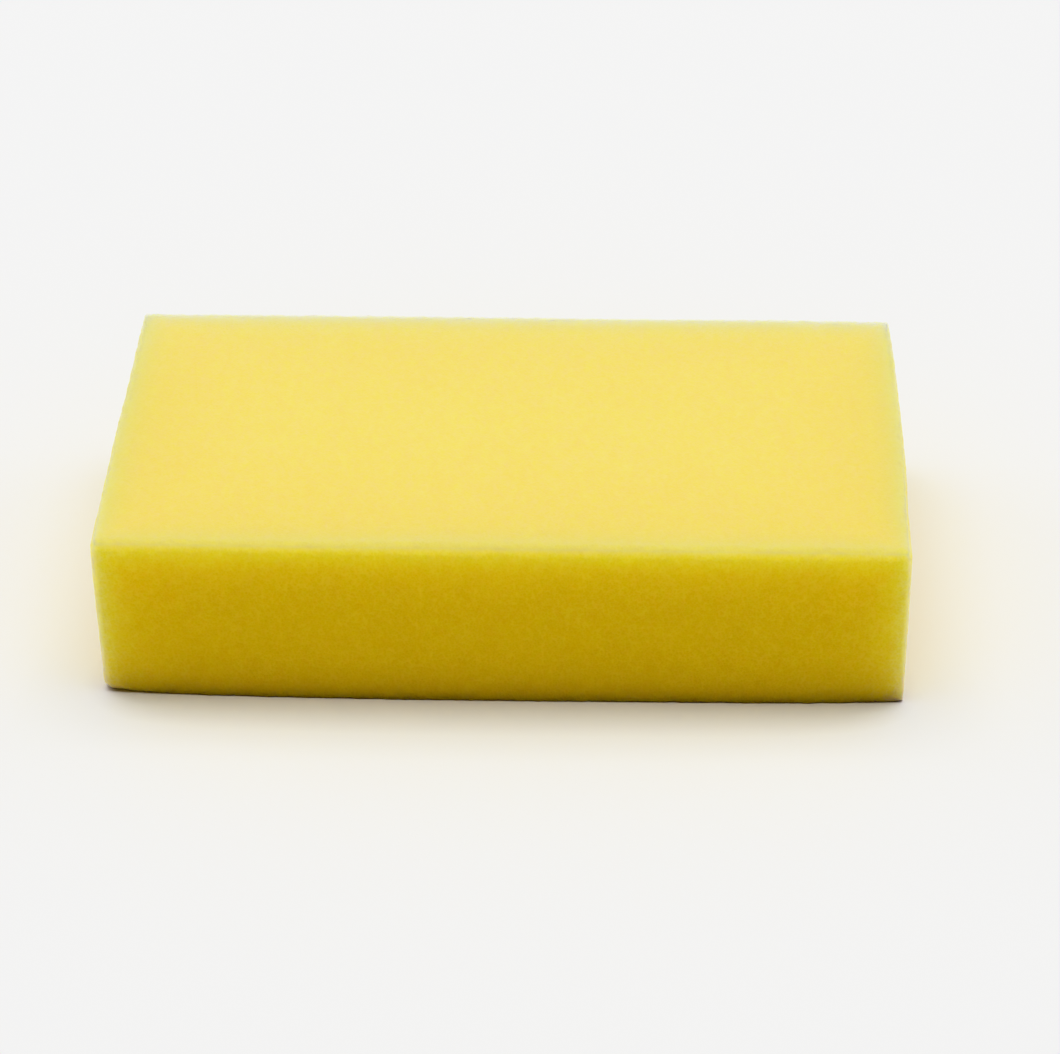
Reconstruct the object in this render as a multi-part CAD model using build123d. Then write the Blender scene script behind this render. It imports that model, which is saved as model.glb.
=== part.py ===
from build123d import *
import os

# Foam sponge for washing down, wiping and decorating work: one hand-sized block of open-cell
# polyurethane foam, knife-cut from slab stock.
#
# Millimetres, +Z up. The length runs along X and the width along Y. The origin is the centre of
# the bottom face, so the sponge stands on Z = 0. Both broad faces are flat and parallel.

# Driving dimensions
LENGTH = 200.0
WIDTH = 110.0
HEIGHT = 45.0

# The cut foam has no hard arris. The upright edges are a little rounder than the rims of the
# two broad faces.
UPRIGHT_EDGE_RADIUS = 2.5
RIM_RADIUS = 1.5


def foam_block():
    """The whole sponge, a rectangular block with softened edges."""
    block = Box(LENGTH, WIDTH, HEIGHT, align=(Align.CENTER, Align.CENTER, Align.MIN))
    block = fillet(block.edges().filter_by(Axis.Z), UPRIGHT_EDGE_RADIUS)
    bottom_face = block.faces().sort_by(Axis.Z)[0]
    top_face = block.faces().sort_by(Axis.Z)[-1]
    return fillet(bottom_face.edges() + top_face.edges(), RIM_RADIUS)


def main():
    os.makedirs("parts", exist_ok=True)
    export_step(foam_block(), "parts/foam_block.step")


main()
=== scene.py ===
"""The looks of the foam sponge: one block of fine yellow open-cell foam on a pale studio floor.

Everything is in metres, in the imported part's own frame: X along the sponge's length, Y from front
to back, Z up, and the origin at the centre of its bottom face. The block's size comes from the
frame. Its softened form, its cut surface and its cells are made here.
"""

import math

import bmesh
import bpy
import numpy as np
from mathutils import Matrix, Vector, noise


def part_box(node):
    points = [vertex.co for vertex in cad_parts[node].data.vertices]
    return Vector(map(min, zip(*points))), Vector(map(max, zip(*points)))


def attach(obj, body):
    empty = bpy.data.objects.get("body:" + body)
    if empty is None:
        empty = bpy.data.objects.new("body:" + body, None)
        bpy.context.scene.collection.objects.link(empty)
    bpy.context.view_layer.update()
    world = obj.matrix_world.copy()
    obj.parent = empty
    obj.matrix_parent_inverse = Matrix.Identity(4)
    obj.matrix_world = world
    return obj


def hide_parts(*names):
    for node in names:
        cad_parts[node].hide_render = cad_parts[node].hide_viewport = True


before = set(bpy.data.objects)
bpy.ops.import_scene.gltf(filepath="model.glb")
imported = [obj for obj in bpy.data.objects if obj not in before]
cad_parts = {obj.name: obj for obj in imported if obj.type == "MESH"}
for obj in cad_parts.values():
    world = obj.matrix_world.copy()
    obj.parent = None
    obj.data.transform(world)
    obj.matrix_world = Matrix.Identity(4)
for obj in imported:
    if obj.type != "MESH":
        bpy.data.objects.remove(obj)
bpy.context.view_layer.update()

MM = 0.001

# Surface grid of the block. The steps are finer near the edges, and every square there is then
# divided once more, so that the edges can be frayed.
EDGE_BAND = 4.0 * MM
EDGE_STEP = 0.80 * MM
FACE_STEP = 1.20 * MM

# Roundness of the cut edges. The top's edges are sharp at the back and rounder towards the front.
# A few millimetres down, the upright edges have a roundness of their own, and underneath the
# edges are sharp. One front corner is rubbed down by handling: its place is given as a side of
# the block on each axis.
BACK_RADIUS = 0.9 * MM
FRONT_RADIUS = 3.0 * MM
UPRIGHT_RADIUS = 1.6 * MM
UPRIGHT_DROP = 5 * MM
BASE_RADIUS = 0.5 * MM
BASE_REACH = 6 * MM
WORN_CORNER = (-1, -1, -1)
WORN_RADIUS = 2.6 * MM
WORN_REACH = 9 * MM

# How the block strays from a true box. The two ends bulge near the top, the left one towards the
# front and the right one towards the back. Their centres and reach are shares of the width, from 0
# at the front. The front face bows out at its foot. The powers say how soon a bulge dies away from
# its end, and the bow towards the ends and towards the back.
LEFT_BULGE = 0.75 * MM
LEFT_CENTRE = 0.27
RIGHT_BULGE = 0.80 * MM
RIGHT_CENTRE = 0.60
BULGE_REACH = 0.33
BULGE_POWER = 6
FOOT_BOW = 1.7 * MM
BOW_POWER = 3

# The cut surface. The knife wandered slowly on every face. The edges are frayed, though the top
# front one hardly at all, with a second, finer fraying that is FINE_FRAY as strong. The cut cells
# leave a fine grain, which is calmer near the edges.
WANDER = 0.22 * MM
WANDER_LENGTH = 42 * MM
FRAY = 0.11 * MM
RIDGE_FRAY = 0.02 * MM
RIDGE_REACH = 8 * MM
FRAY_LENGTH = 3.0 * MM
FINE_FRAY = 0.6
FINE_FRAY_LENGTH = FRAY_LENGTH / 3
FRAY_DEPTH = 2.5 * MM
GRAIN = 0.045 * MM
GRAIN_LENGTH = 1.9 * MM
GRAIN_CALM = 0.9
# The gain that brings smooth noise to roughly -1 to 1, and how far apart two seeds of it are.
NOISE_GAIN = 1.6
SEED_STEP = (17.3, 5.9, 11.1)

# Foam colours, as linear light: the pits and cell walls of the sides and of the top.
PIT = (0.868, 0.638, 0.030)
STRUT = (0.942, 0.728, 0.150)
# Painted light: the top's copy of the cell colours is paler, as if lit from above.
LIT_TOP_PIT = (0.900, 0.742, 0.168)
LIT_TOP_STRUT = (0.936, 0.768, 0.252)
# How soon the top's painted paler colours give way to the sides' as the surface turns over an edge.
LIT_TOP_POWER = 2.2

# What the sides' colours are multiplied by close to an edge, and how far that reaches. A painted
# glow turns the sides lemon where light has a short way through the foam, and paler on the very rim
# and beside the upright edges. Painted shade deepens them at the foot.
LEMON_GLOW = (0.99, 1.16, 1.65)
LEMON_GLOW_REACH = 9.0 * MM
RIM_GLOW = (0.97, 0.93, 2.25)
RIM_GLOW_REACH = 2.5 * MM
UPRIGHT_GLOW = (0.97, 0.985, 1.35)
UPRIGHT_GLOW_REACH = 5.0 * MM
# Painted shade: the sides darken and deepen towards the foot.
FOOT_SHADE = (0.97, 0.86, 1.3)
FOOT_SHADE_REACH = 6.0 * MM

# The same for the top. Painted shade dulls it towards its edges, and a painted glow makes it paler
# on the very rim, which reaches as far as the sides' rim does. Towards the back it has a faint
# painted haze of light, and the back edge has painted shade with a paler, bluer painted glow.
# Painted shade greys the top's two end edges, over the edge and onto the sides.
SHADE = (0.62, 0.67, 0.95)
SHADE_REACH = 11.0 * MM
TOP_RIM_GLOW = (1.03, 1.06, 1.5)
PAINTED_HAZE = (1.0, 1.04, 1.14)
PAINTED_HAZE_REACH = 14 * MM
BACK_RIM_SHADE_GLOW = (0.67, 0.70, 1.75)
BACK_RIM_REACH = 3.0 * MM
END_SHADE = (0.74, 0.79, 1.0)
END_SHADE_REACH = 2.0 * MM

# The foam's texture: cells and larger pores, a mottle, and a faint drift of tone. A span is the
# part of the way from a cell's middle outwards over which its pit rises to its wall. Close to the
# edges the texture is calmer, in colour, in bump and in grain.
CELL_SIZE = 0.62 * MM
CELL_SPAN = (0.10, 0.75)
CELL_SHARE = 0.6
PORE_SIZE = 1.25 * MM
PORE_SPAN = (0.10, 0.80)
MOTTLE_SIZE = 2.6 * MM
MOTTLE_DETAIL = 2.0
MOTTLE = 0.7
DRIFT_SIZE = 14 * MM
DRIFT_DETAIL = 3.0
DRIFT = 0.12
MIDDLE_TONE = (0.5, 0.5, 0.5)
CALM = 0.88
CALM_REACH = 6.0 * MM
BUMP = 0.7
BUMP_DEPTH = 0.2 * MM

# How far light gets inside the foam: the shares for red, green and blue of a distance that is
# longer at the top of the block than at its foot. Then the finish of the surface itself.
SSS_RADIUS = (0.9, 1.0, 0.15)
SSS_TOP = 15 * MM
SSS_BASE = 11 * MM
SHEEN = 0.15
SHEEN_ROUGH = 0.5
ROUGH = 0.95
SPEC = 0.3

# Soft studio light: a large lamp overhead, a low wide one in front, and one on each side, all
# aimed at the middle of the block's foot, and a faint even light from all around. The floor lies
# a hair below the block's bottom face.
AIM = (0.0, 0.0, 0.0)
KEY_PLACE = (0.0, 0.5, 3.0)
KEY_SIZE = (3.5, 2.5)
KEY_POWER = 71.0
FRONT_PLACE = (0.0, -3.25, 1.12)
FRONT_SIZE = (3.0, 1.25)
FRONT_POWER = 3.9
SIDE_PLACE = (2.75, 1.0, 1.25)
SIDE_SIZE = (1.75, 1.75)
SIDE_POWER = 14.0
WORLD = 0.12
VIEW = "Khronos PBR Neutral"
LOOK = "Very High Contrast"
FLOOR = (0.82, 0.82, 0.82)
FLOOR_REACH = 6.0
FLOOR_GAP = 0.1 * MM

# A long lens, a little right of the middle and 34 degrees above the table. Angles are in degrees
# and the lens and sensor in millimetres.
CAMERA_PLACE = (0.02819, -0.75688, 0.52768)
CAMERA_YAW = 1.731
CAMERA_PITCH = 34.15
CAMERA_ROLL = -0.245
SENSOR = 36.0
LENS = 119.22


# ---------------------------------------------------------------- the block's form


def stations(length):
    """Positions from 0 to length, spaced fine within the edge band of both ends."""
    near = np.linspace(0, EDGE_BAND, round(EDGE_BAND / EDGE_STEP) + 1)
    middle_steps = round((length - 2 * EDGE_BAND) / FACE_STEP)
    middle = np.linspace(EDGE_BAND, length - EDGE_BAND, middle_steps + 1)
    return np.concatenate([near[:-1], middle, (length - near[:-1])[::-1]])


def box_grid(low, high):
    """A closed box as a bmesh: one graded grid per face, joined at the box's edges."""
    axes = [low[k] + stations(high[k] - low[k]) for k in range(3)]
    last = [len(axis) - 1 for axis in axes]
    grid, made = bmesh.new(), {}

    def vertex(index):
        if index not in made:
            made[index] = grid.verts.new([axes[k][index[k]] for k in range(3)])
        return made[index]

    for k in range(3):
        a, b = (k + 1) % 3, (k + 2) % 3
        for side in (0, last[k]):
            for i in range(last[a]):
                for j in range(last[b]):
                    ring = []
                    for di, dj in ((0, 0), (1, 0), (1, 1), (0, 1)):
                        index = [0, 0, 0]
                        index[k], index[a], index[b] = side, i + di, j + dj
                        ring.append(vertex(tuple(index)))
                    grid.faces.new(ring if side else ring[::-1])
    return grid


def edge_distance(points, low, high):
    """How far each point of the box's surface is from the box's nearest edge."""
    depth = np.minimum(points - low, high - points)
    return np.sort(depth, axis=1)[:, 1]


def lit_edge_distance(points, low, high):
    """The same, leaving out the bottom edges, which no light reaches."""
    depth = np.minimum(points - low, high - points)
    depth[:, 2] = high[2] - points[:, 2]
    return np.sort(depth, axis=1)[:, 1]


def ridge_distance(points, low, high):
    """How far each point is from the top's front edge."""
    return np.hypot(points[:, 1] - low[1], high[2] - points[:, 2])


def back_distance(points, low, high):
    """How far each point is from the top's back edge."""
    return np.hypot(high[1] - points[:, 1], high[2] - points[:, 2])


def end_distance(points, low, high):
    """How far each point is from the top's nearer end edge."""
    inset = np.minimum(points - low, high - points)
    return np.hypot(inset[:, 0], high[2] - points[:, 2])


def upright_distance(points, low, high):
    """How far each point of the sides is from the nearest upright edge."""
    return np.minimum(points - low, high - points)[:, :2].max(axis=1)


def closeness(distance, reach):
    """1 where the distance is nothing, dying away like a bell over the reach."""
    return np.exp(-((distance / reach) ** 2))


def divide_band(grid, low, high):
    """Halves every grid edge that lies in the band along the box's edges."""
    places = np.array([vert.co for vert in grid.verts])
    inside = edge_distance(places, low, high) < EDGE_BAND - EDGE_STEP / 2
    near = {vert for vert, within in zip(grid.verts, inside) if within}
    edges = [edge for edge in grid.edges if edge.verts[0] in near and edge.verts[1] in near]
    bmesh.ops.subdivide_edges(grid, edges=edges, cuts=1, use_grid_fill=True, use_single_edge=True)


def edge_radius(points, low, high):
    """The radius that rounds the box's edges and corners around each point."""
    forward = (high[1] - points[:, 1]) / (high[1] - low[1])
    corner = np.where(np.array(WORN_CORNER) > 0, high, low)
    worn = closeness(np.linalg.norm(points - corner, axis=1), WORN_REACH)
    base = closeness(points[:, 2] - low[2], BASE_REACH)
    below = 1 - closeness(high[2] - points[:, 2], UPRIGHT_DROP)
    radius = BACK_RADIUS + (FRONT_RADIUS - BACK_RADIUS) * forward
    radius += (UPRIGHT_RADIUS - radius) * below
    radius += (BASE_RADIUS - radius) * base
    return radius + (WORN_RADIUS - radius) * worn


def rounded(points, low, high):
    """The box's points moved onto a block with round edges, and the outward normal at each."""
    radius = edge_radius(points, low, high)[:, None]
    inner = np.clip(points, low + radius, high - radius)
    normal = points - inner
    normal /= np.linalg.norm(normal, axis=1)[:, None]
    return inner + radius * normal, normal


def smooth_noise(points, length, seed):
    """Smooth noise of roughly -1 to 1 at each point, with features of the given length."""
    shift = Vector([seed * step for step in SEED_STEP])
    return np.array([noise.noise(Vector(p) / length + shift) for p in points]) * NOISE_GAIN


def bulge(place, centre):
    """A broad flat-topped swelling, 1 at its centre, along a side that runs from 0 to 1."""
    return np.exp(-(((place - centre) / BULGE_REACH) ** 4))


def bowed(points, low, high):
    """How far each point moves as the two ends bulge and the front face bows at its foot."""
    along, across, up = ((points - low) / (high - low)).T
    outward = 2 * along - 1
    left = -LEFT_BULGE * bulge(across, LEFT_CENTRE)
    right = RIGHT_BULGE * bulge(across, RIGHT_CENTRE)
    end = np.where(outward > 0, right, left)
    middle = 1 - np.abs(outward) ** BOW_POWER
    shift = np.zeros_like(points)
    shift[:, 0] = end * np.abs(outward) ** BULGE_POWER * up
    shift[:, 1] = -FOOT_BOW * middle * (1 - up) * (1 - across) ** BOW_POWER
    return shift


def fray_depth(points, low, high):
    """How deep the fraying is: most along the block's edges, but little along the top front one."""
    near_edge = closeness(edge_distance(points, low, high), FRAY_DEPTH)
    near_ridge = closeness(ridge_distance(points, low, high), RIDGE_REACH)
    return (FRAY + (RIDGE_FRAY - FRAY) * near_ridge) * near_edge


def cut_surface(points, depth, distance):
    """How far each point lies off the true face: knife wander, frayed edges and cell grain.

    The depth is the fraying's at each point, and the distance is to the nearest edge.
    """
    wander = WANDER * smooth_noise(points, WANDER_LENGTH, 1)
    fray = smooth_noise(points, FRAY_LENGTH, 2)
    fray = fray + FINE_FRAY * smooth_noise(points, FINE_FRAY_LENGTH, 3)
    calm = 1 - GRAIN_CALM * closeness(distance, CALM_REACH)
    grain = smooth_noise(points, GRAIN_LENGTH, 4) * calm
    return wander + depth * fray + GRAIN * grain


def store(mesh, name, values):
    """Keeps one number per point on the mesh, for the material to read."""
    mesh.attributes.new(name, "FLOAT", "POINT").data.foreach_set("value", values)


def make_block(name, low, high):
    """The sponge between the two corners of its box."""
    grid = box_grid(low, high)
    divide_band(grid, low, high)
    mesh = bpy.data.meshes.new(name)
    grid.to_mesh(mesh)
    grid.free()
    box = np.empty(len(mesh.vertices) * 3)
    mesh.vertices.foreach_get("co", box)
    box = box.reshape(-1, 3)
    points, normals = rounded(box, low, high)
    relief = cut_surface(points, fray_depth(box, low, high), edge_distance(box, low, high))
    points = points + bowed(points, low, high) + normals * relief[:, None]
    points[:, 2] = np.maximum(points[:, 2], low[2])
    mesh.vertices.foreach_set("co", points.ravel())
    # Painted light: how far each point faces up, which picks the top's paler lit colours.
    store(mesh, "top", np.clip(normals[:, 2], 0, 1) ** LIT_TOP_POWER)
    store(mesh, "to_edge", lit_edge_distance(box, low, high))
    store(mesh, "to_back", back_distance(box, low, high))
    store(mesh, "to_end", end_distance(box, low, high))
    store(mesh, "to_upright", upright_distance(box, low, high))
    mesh.polygons.foreach_set("use_smooth", [True] * len(mesh.polygons))
    mesh.update()
    block = bpy.data.objects.new(name, mesh)
    bpy.context.scene.collection.objects.link(block)
    return block


# ---------------------------------------------------------------- material


class Nodes:
    """Short calls for building a material's node tree."""

    def __init__(self, material):
        material.use_nodes = True
        self.tree = material.node_tree
        self.shader = self.tree.nodes["Principled BSDF"]

    def add(self, kind, **settings):
        """A new node with these settings."""
        node = self.tree.nodes.new(kind)
        for key, value in settings.items():
            setattr(node, key, value)
        return node

    def feed(self, socket, value):
        """Gives a socket its value: another node's output, or a plain number, vector or colour."""
        if isinstance(value, bpy.types.NodeSocket):
            self.tree.links.new(value, socket)
        else:
            socket.default_value = value

    def math(self, operation, a, b=0.0, clamp=False):
        """One arithmetic step on numbers."""
        node = self.add("ShaderNodeMath", operation=operation, use_clamp=clamp)
        self.feed(node.inputs[0], a)
        self.feed(node.inputs[1], b)
        return node.outputs[0]

    def remap(self, value, low, high, to_low, to_high):
        """The value stretched from low..high to to_low..to_high, and kept within that."""
        node = self.add("ShaderNodeMapRange", clamp=True)
        for socket, number in zip(node.inputs, (value, low, high, to_low, to_high)):
            self.feed(socket, number)
        return node.outputs[0]

    def blend(self, factor, a, b, kind="MIX"):
        """Colour a turning into colour b, or into their product, as the factor goes to 1."""
        node = self.add("ShaderNodeMix", data_type="RGBA", blend_type=kind)
        colours = [socket for socket in node.inputs if socket.type == "RGBA"]
        self.feed(node.inputs[0], factor)
        self.feed(colours[0], (*a, 1) if isinstance(a, tuple) else a)
        self.feed(colours[1], (*b, 1) if isinstance(b, tuple) else b)
        return next(socket for socket in node.outputs if socket.type == "RGBA")

    def stored(self, name):
        """The number that the mesh keeps under this name."""
        return self.add("ShaderNodeAttribute", attribute_name=name).outputs["Fac"]

    def near(self, distance, reach):
        """1 where the distance is nothing, dying away over the reach."""
        return self.math("EXPONENT", self.math("DIVIDE", distance, -reach))

    def tinted(self, colour, distance, reach, tint):
        """The colour multiplied by a tint where the distance is small."""
        return self.blend(self.near(distance, reach), colour, tint, "MULTIPLY")

    def noise(self, place, length, detail):
        """Smooth noise around 0.5, with features of the given length."""
        node = self.add("ShaderNodeTexNoise")
        self.feed(node.inputs["Vector"], place)
        self.feed(node.inputs["Scale"], 1 / length)
        self.feed(node.inputs["Detail"], detail)
        return node.outputs["Fac"]

    def cells(self, place, size):
        """Distance from the middle of the nearest cell, from 0 to about 1 at the walls."""
        node = self.add("ShaderNodeTexVoronoi", feature="F1")
        self.feed(node.inputs["Vector"], place)
        self.feed(node.inputs["Scale"], 1 / size)
        return node.outputs["Distance"]


def cell_walls(nodes, place):
    """The cut cells, fine ones with larger pores among them: 0 in a pit, 1 on a wall."""
    fine = nodes.remap(nodes.cells(place, CELL_SIZE), *CELL_SPAN, 0.0, 1.0)
    coarse = nodes.remap(nodes.cells(place, PORE_SIZE), *PORE_SPAN, 0.0, 1.0)
    fine = nodes.math("MULTIPLY", fine, CELL_SHARE)
    coarse = nodes.math("MULTIPLY", coarse, 1 - CELL_SHARE)
    return nodes.math("ADD", fine, coarse)


def foam_tone(nodes, place, walls, calm):
    """The cells with their mottle and drift, from 0 to 1, evened out where it is calm."""
    mottle = nodes.math("SUBTRACT", nodes.noise(place, MOTTLE_SIZE, MOTTLE_DETAIL), 0.5)
    drift = nodes.math("SUBTRACT", nodes.noise(place, DRIFT_SIZE, DRIFT_DETAIL), 0.5)
    tone = nodes.math("ADD", walls, nodes.math("MULTIPLY", mottle, MOTTLE))
    tone = nodes.math("ADD", tone, nodes.math("MULTIPLY", drift, DRIFT), clamp=True)
    return nodes.blend(calm, tone, MIDDLE_TONE)


def side_colour(nodes, tone, to_edge, up):
    """The sides: golden, with a painted glow along their lit edges and painted shade at the foot.
    """
    side = nodes.blend(tone, PIT, STRUT)
    side = nodes.tinted(side, to_edge, LEMON_GLOW_REACH, LEMON_GLOW)
    side = nodes.tinted(side, to_edge, RIM_GLOW_REACH, RIM_GLOW)
    side = nodes.tinted(side, nodes.stored("to_upright"), UPRIGHT_GLOW_REACH, UPRIGHT_GLOW)
    # Painted shade at the foot.
    return nodes.tinted(side, up, FOOT_SHADE_REACH, FOOT_SHADE)


def lit_top_colour(nodes, tone, to_edge):
    """The top: a paler lit copy of the cells, with painted shade and glow along its edges and back.
    """
    to_back = nodes.stored("to_back")
    top = nodes.blend(tone, LIT_TOP_PIT, LIT_TOP_STRUT)
    # Painted shade and glow near the edges, and a painted haze and rim shade and glow at the back.
    top = nodes.tinted(top, to_edge, SHADE_REACH, SHADE)
    top = nodes.tinted(top, to_edge, RIM_GLOW_REACH, TOP_RIM_GLOW)
    top = nodes.tinted(top, to_back, PAINTED_HAZE_REACH, PAINTED_HAZE)
    return nodes.tinted(top, to_back, BACK_RIM_REACH, BACK_RIM_SHADE_GLOW)


def foam_material(height):
    """Fine open-cell foam: pitted cells, edges that let light through, and a soft matte surface."""
    material = bpy.data.materials.new("yellow_foam")
    nodes = Nodes(material)
    shader = nodes.shader
    place = nodes.add("ShaderNodeTexCoord").outputs["Object"]
    parts = nodes.add("ShaderNodeSeparateXYZ")
    nodes.feed(parts.inputs[0], place)
    up = parts.outputs["Z"]

    to_edge = nodes.stored("to_edge")
    calm = nodes.math("MULTIPLY", nodes.near(to_edge, CALM_REACH), CALM)
    walls = cell_walls(nodes, place)
    tone = foam_tone(nodes, place, walls, calm)
    side = side_colour(nodes, tone, to_edge, up)
    top = lit_top_colour(nodes, tone, to_edge)
    # Painted light: where the surface faces up, it takes the top's paler lit colours.
    colour = nodes.blend(nodes.stored("top"), side, top)
    # Painted shade greys the top's end edges.
    colour = nodes.tinted(colour, nodes.stored("to_end"), END_SHADE_REACH, END_SHADE)
    nodes.feed(shader.inputs["Base Color"], colour)

    bump = nodes.add("ShaderNodeBump")
    nodes.feed(bump.inputs["Strength"], nodes.remap(calm, 0.0, 1.0, BUMP, 0.0))
    nodes.feed(bump.inputs["Distance"], BUMP_DEPTH)
    nodes.feed(bump.inputs["Height"], walls)
    nodes.feed(shader.inputs["Normal"], bump.outputs["Normal"])

    shader.inputs["Roughness"].default_value = ROUGH
    shader.inputs["Specular IOR Level"].default_value = SPEC
    shader.inputs["Sheen Weight"].default_value = SHEEN
    shader.inputs["Sheen Roughness"].default_value = SHEEN_ROUGH
    shader.inputs["Subsurface Weight"].default_value = 1.0
    shader.inputs["Subsurface Radius"].default_value = SSS_RADIUS
    nodes.feed(shader.inputs["Subsurface Scale"], nodes.remap(up, 0.0, height, SSS_BASE, SSS_TOP))
    return material


# ---------------------------------------------------------------- studio


def area_light(name, place, size, power):
    """A rectangular white lamp that faces the block."""
    data = bpy.data.lights.new(name, "AREA")
    data.shape = "RECTANGLE"
    data.size, data.size_y = size
    data.energy = power
    light = bpy.data.objects.new(name, data)
    light.location = place
    light.rotation_euler = (Vector(AIM) - Vector(place)).to_track_quat("-Z", "Y").to_euler()
    bpy.context.scene.collection.objects.link(light)


def make_floor():
    """A plain pale floor."""
    mesh = bpy.data.meshes.new("floor")
    corners = [(-1, -1), (1, -1), (1, 1), (-1, 1)]
    places = [(x * FLOOR_REACH, y * FLOOR_REACH, -FLOOR_GAP) for x, y in corners]
    mesh.from_pydata(places, [], [(0, 1, 2, 3)])
    floor = bpy.data.objects.new("floor", mesh)
    bpy.context.scene.collection.objects.link(floor)
    material = bpy.data.materials.new("floor_white")
    material.use_nodes = True
    shader = material.node_tree.nodes["Principled BSDF"]
    shader.inputs["Base Color"].default_value = (*FLOOR, 1)
    shader.inputs["Roughness"].default_value = 1.0
    shader.inputs["Specular IOR Level"].default_value = 0.0
    mesh.materials.append(material)


def make_lights():
    """The lamps, and a faint even light from all around."""
    area_light("overhead", KEY_PLACE, KEY_SIZE, KEY_POWER)
    area_light("front", FRONT_PLACE, FRONT_SIZE, FRONT_POWER)
    for side in (-1, 1):
        area_light("side", (side * SIDE_PLACE[0], *SIDE_PLACE[1:]), SIDE_SIZE, SIDE_POWER)
    world = bpy.data.worlds.new("studio")
    bpy.context.scene.world = world
    world.use_nodes = True
    background = world.node_tree.nodes["Background"]
    background.inputs["Color"].default_value = (1, 1, 1, 1)
    background.inputs["Strength"].default_value = WORLD


def make_camera():
    """The scene's camera, at its place and turned by its three angles."""
    turn = Matrix.Rotation(math.radians(CAMERA_YAW), 4, "Z")
    tilt = Matrix.Rotation(math.pi / 2 - math.radians(CAMERA_PITCH), 4, "X")
    roll = Matrix.Rotation(math.radians(CAMERA_ROLL), 4, "Z")
    data = bpy.data.cameras.new("camera")
    data.sensor_width = SENSOR
    data.lens = LENS
    camera = bpy.data.objects.new("camera", data)
    camera.matrix_world = Matrix.Translation(CAMERA_PLACE) @ turn @ tilt @ roll
    bpy.context.scene.collection.objects.link(camera)
    bpy.context.scene.camera = camera


# ---------------------------------------------------------------- the scene

make_camera()
make_floor()
make_lights()
low, high = (np.array(corner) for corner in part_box("foam_block"))
foam = make_block("foam_sponge", low, high)
foam.data.materials.append(foam_material(float(high[2] - low[2])))
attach(foam, "root")
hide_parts("foam_block")
bpy.context.scene.view_settings.view_transform = VIEW
bpy.context.scene.view_settings.look = LOOK
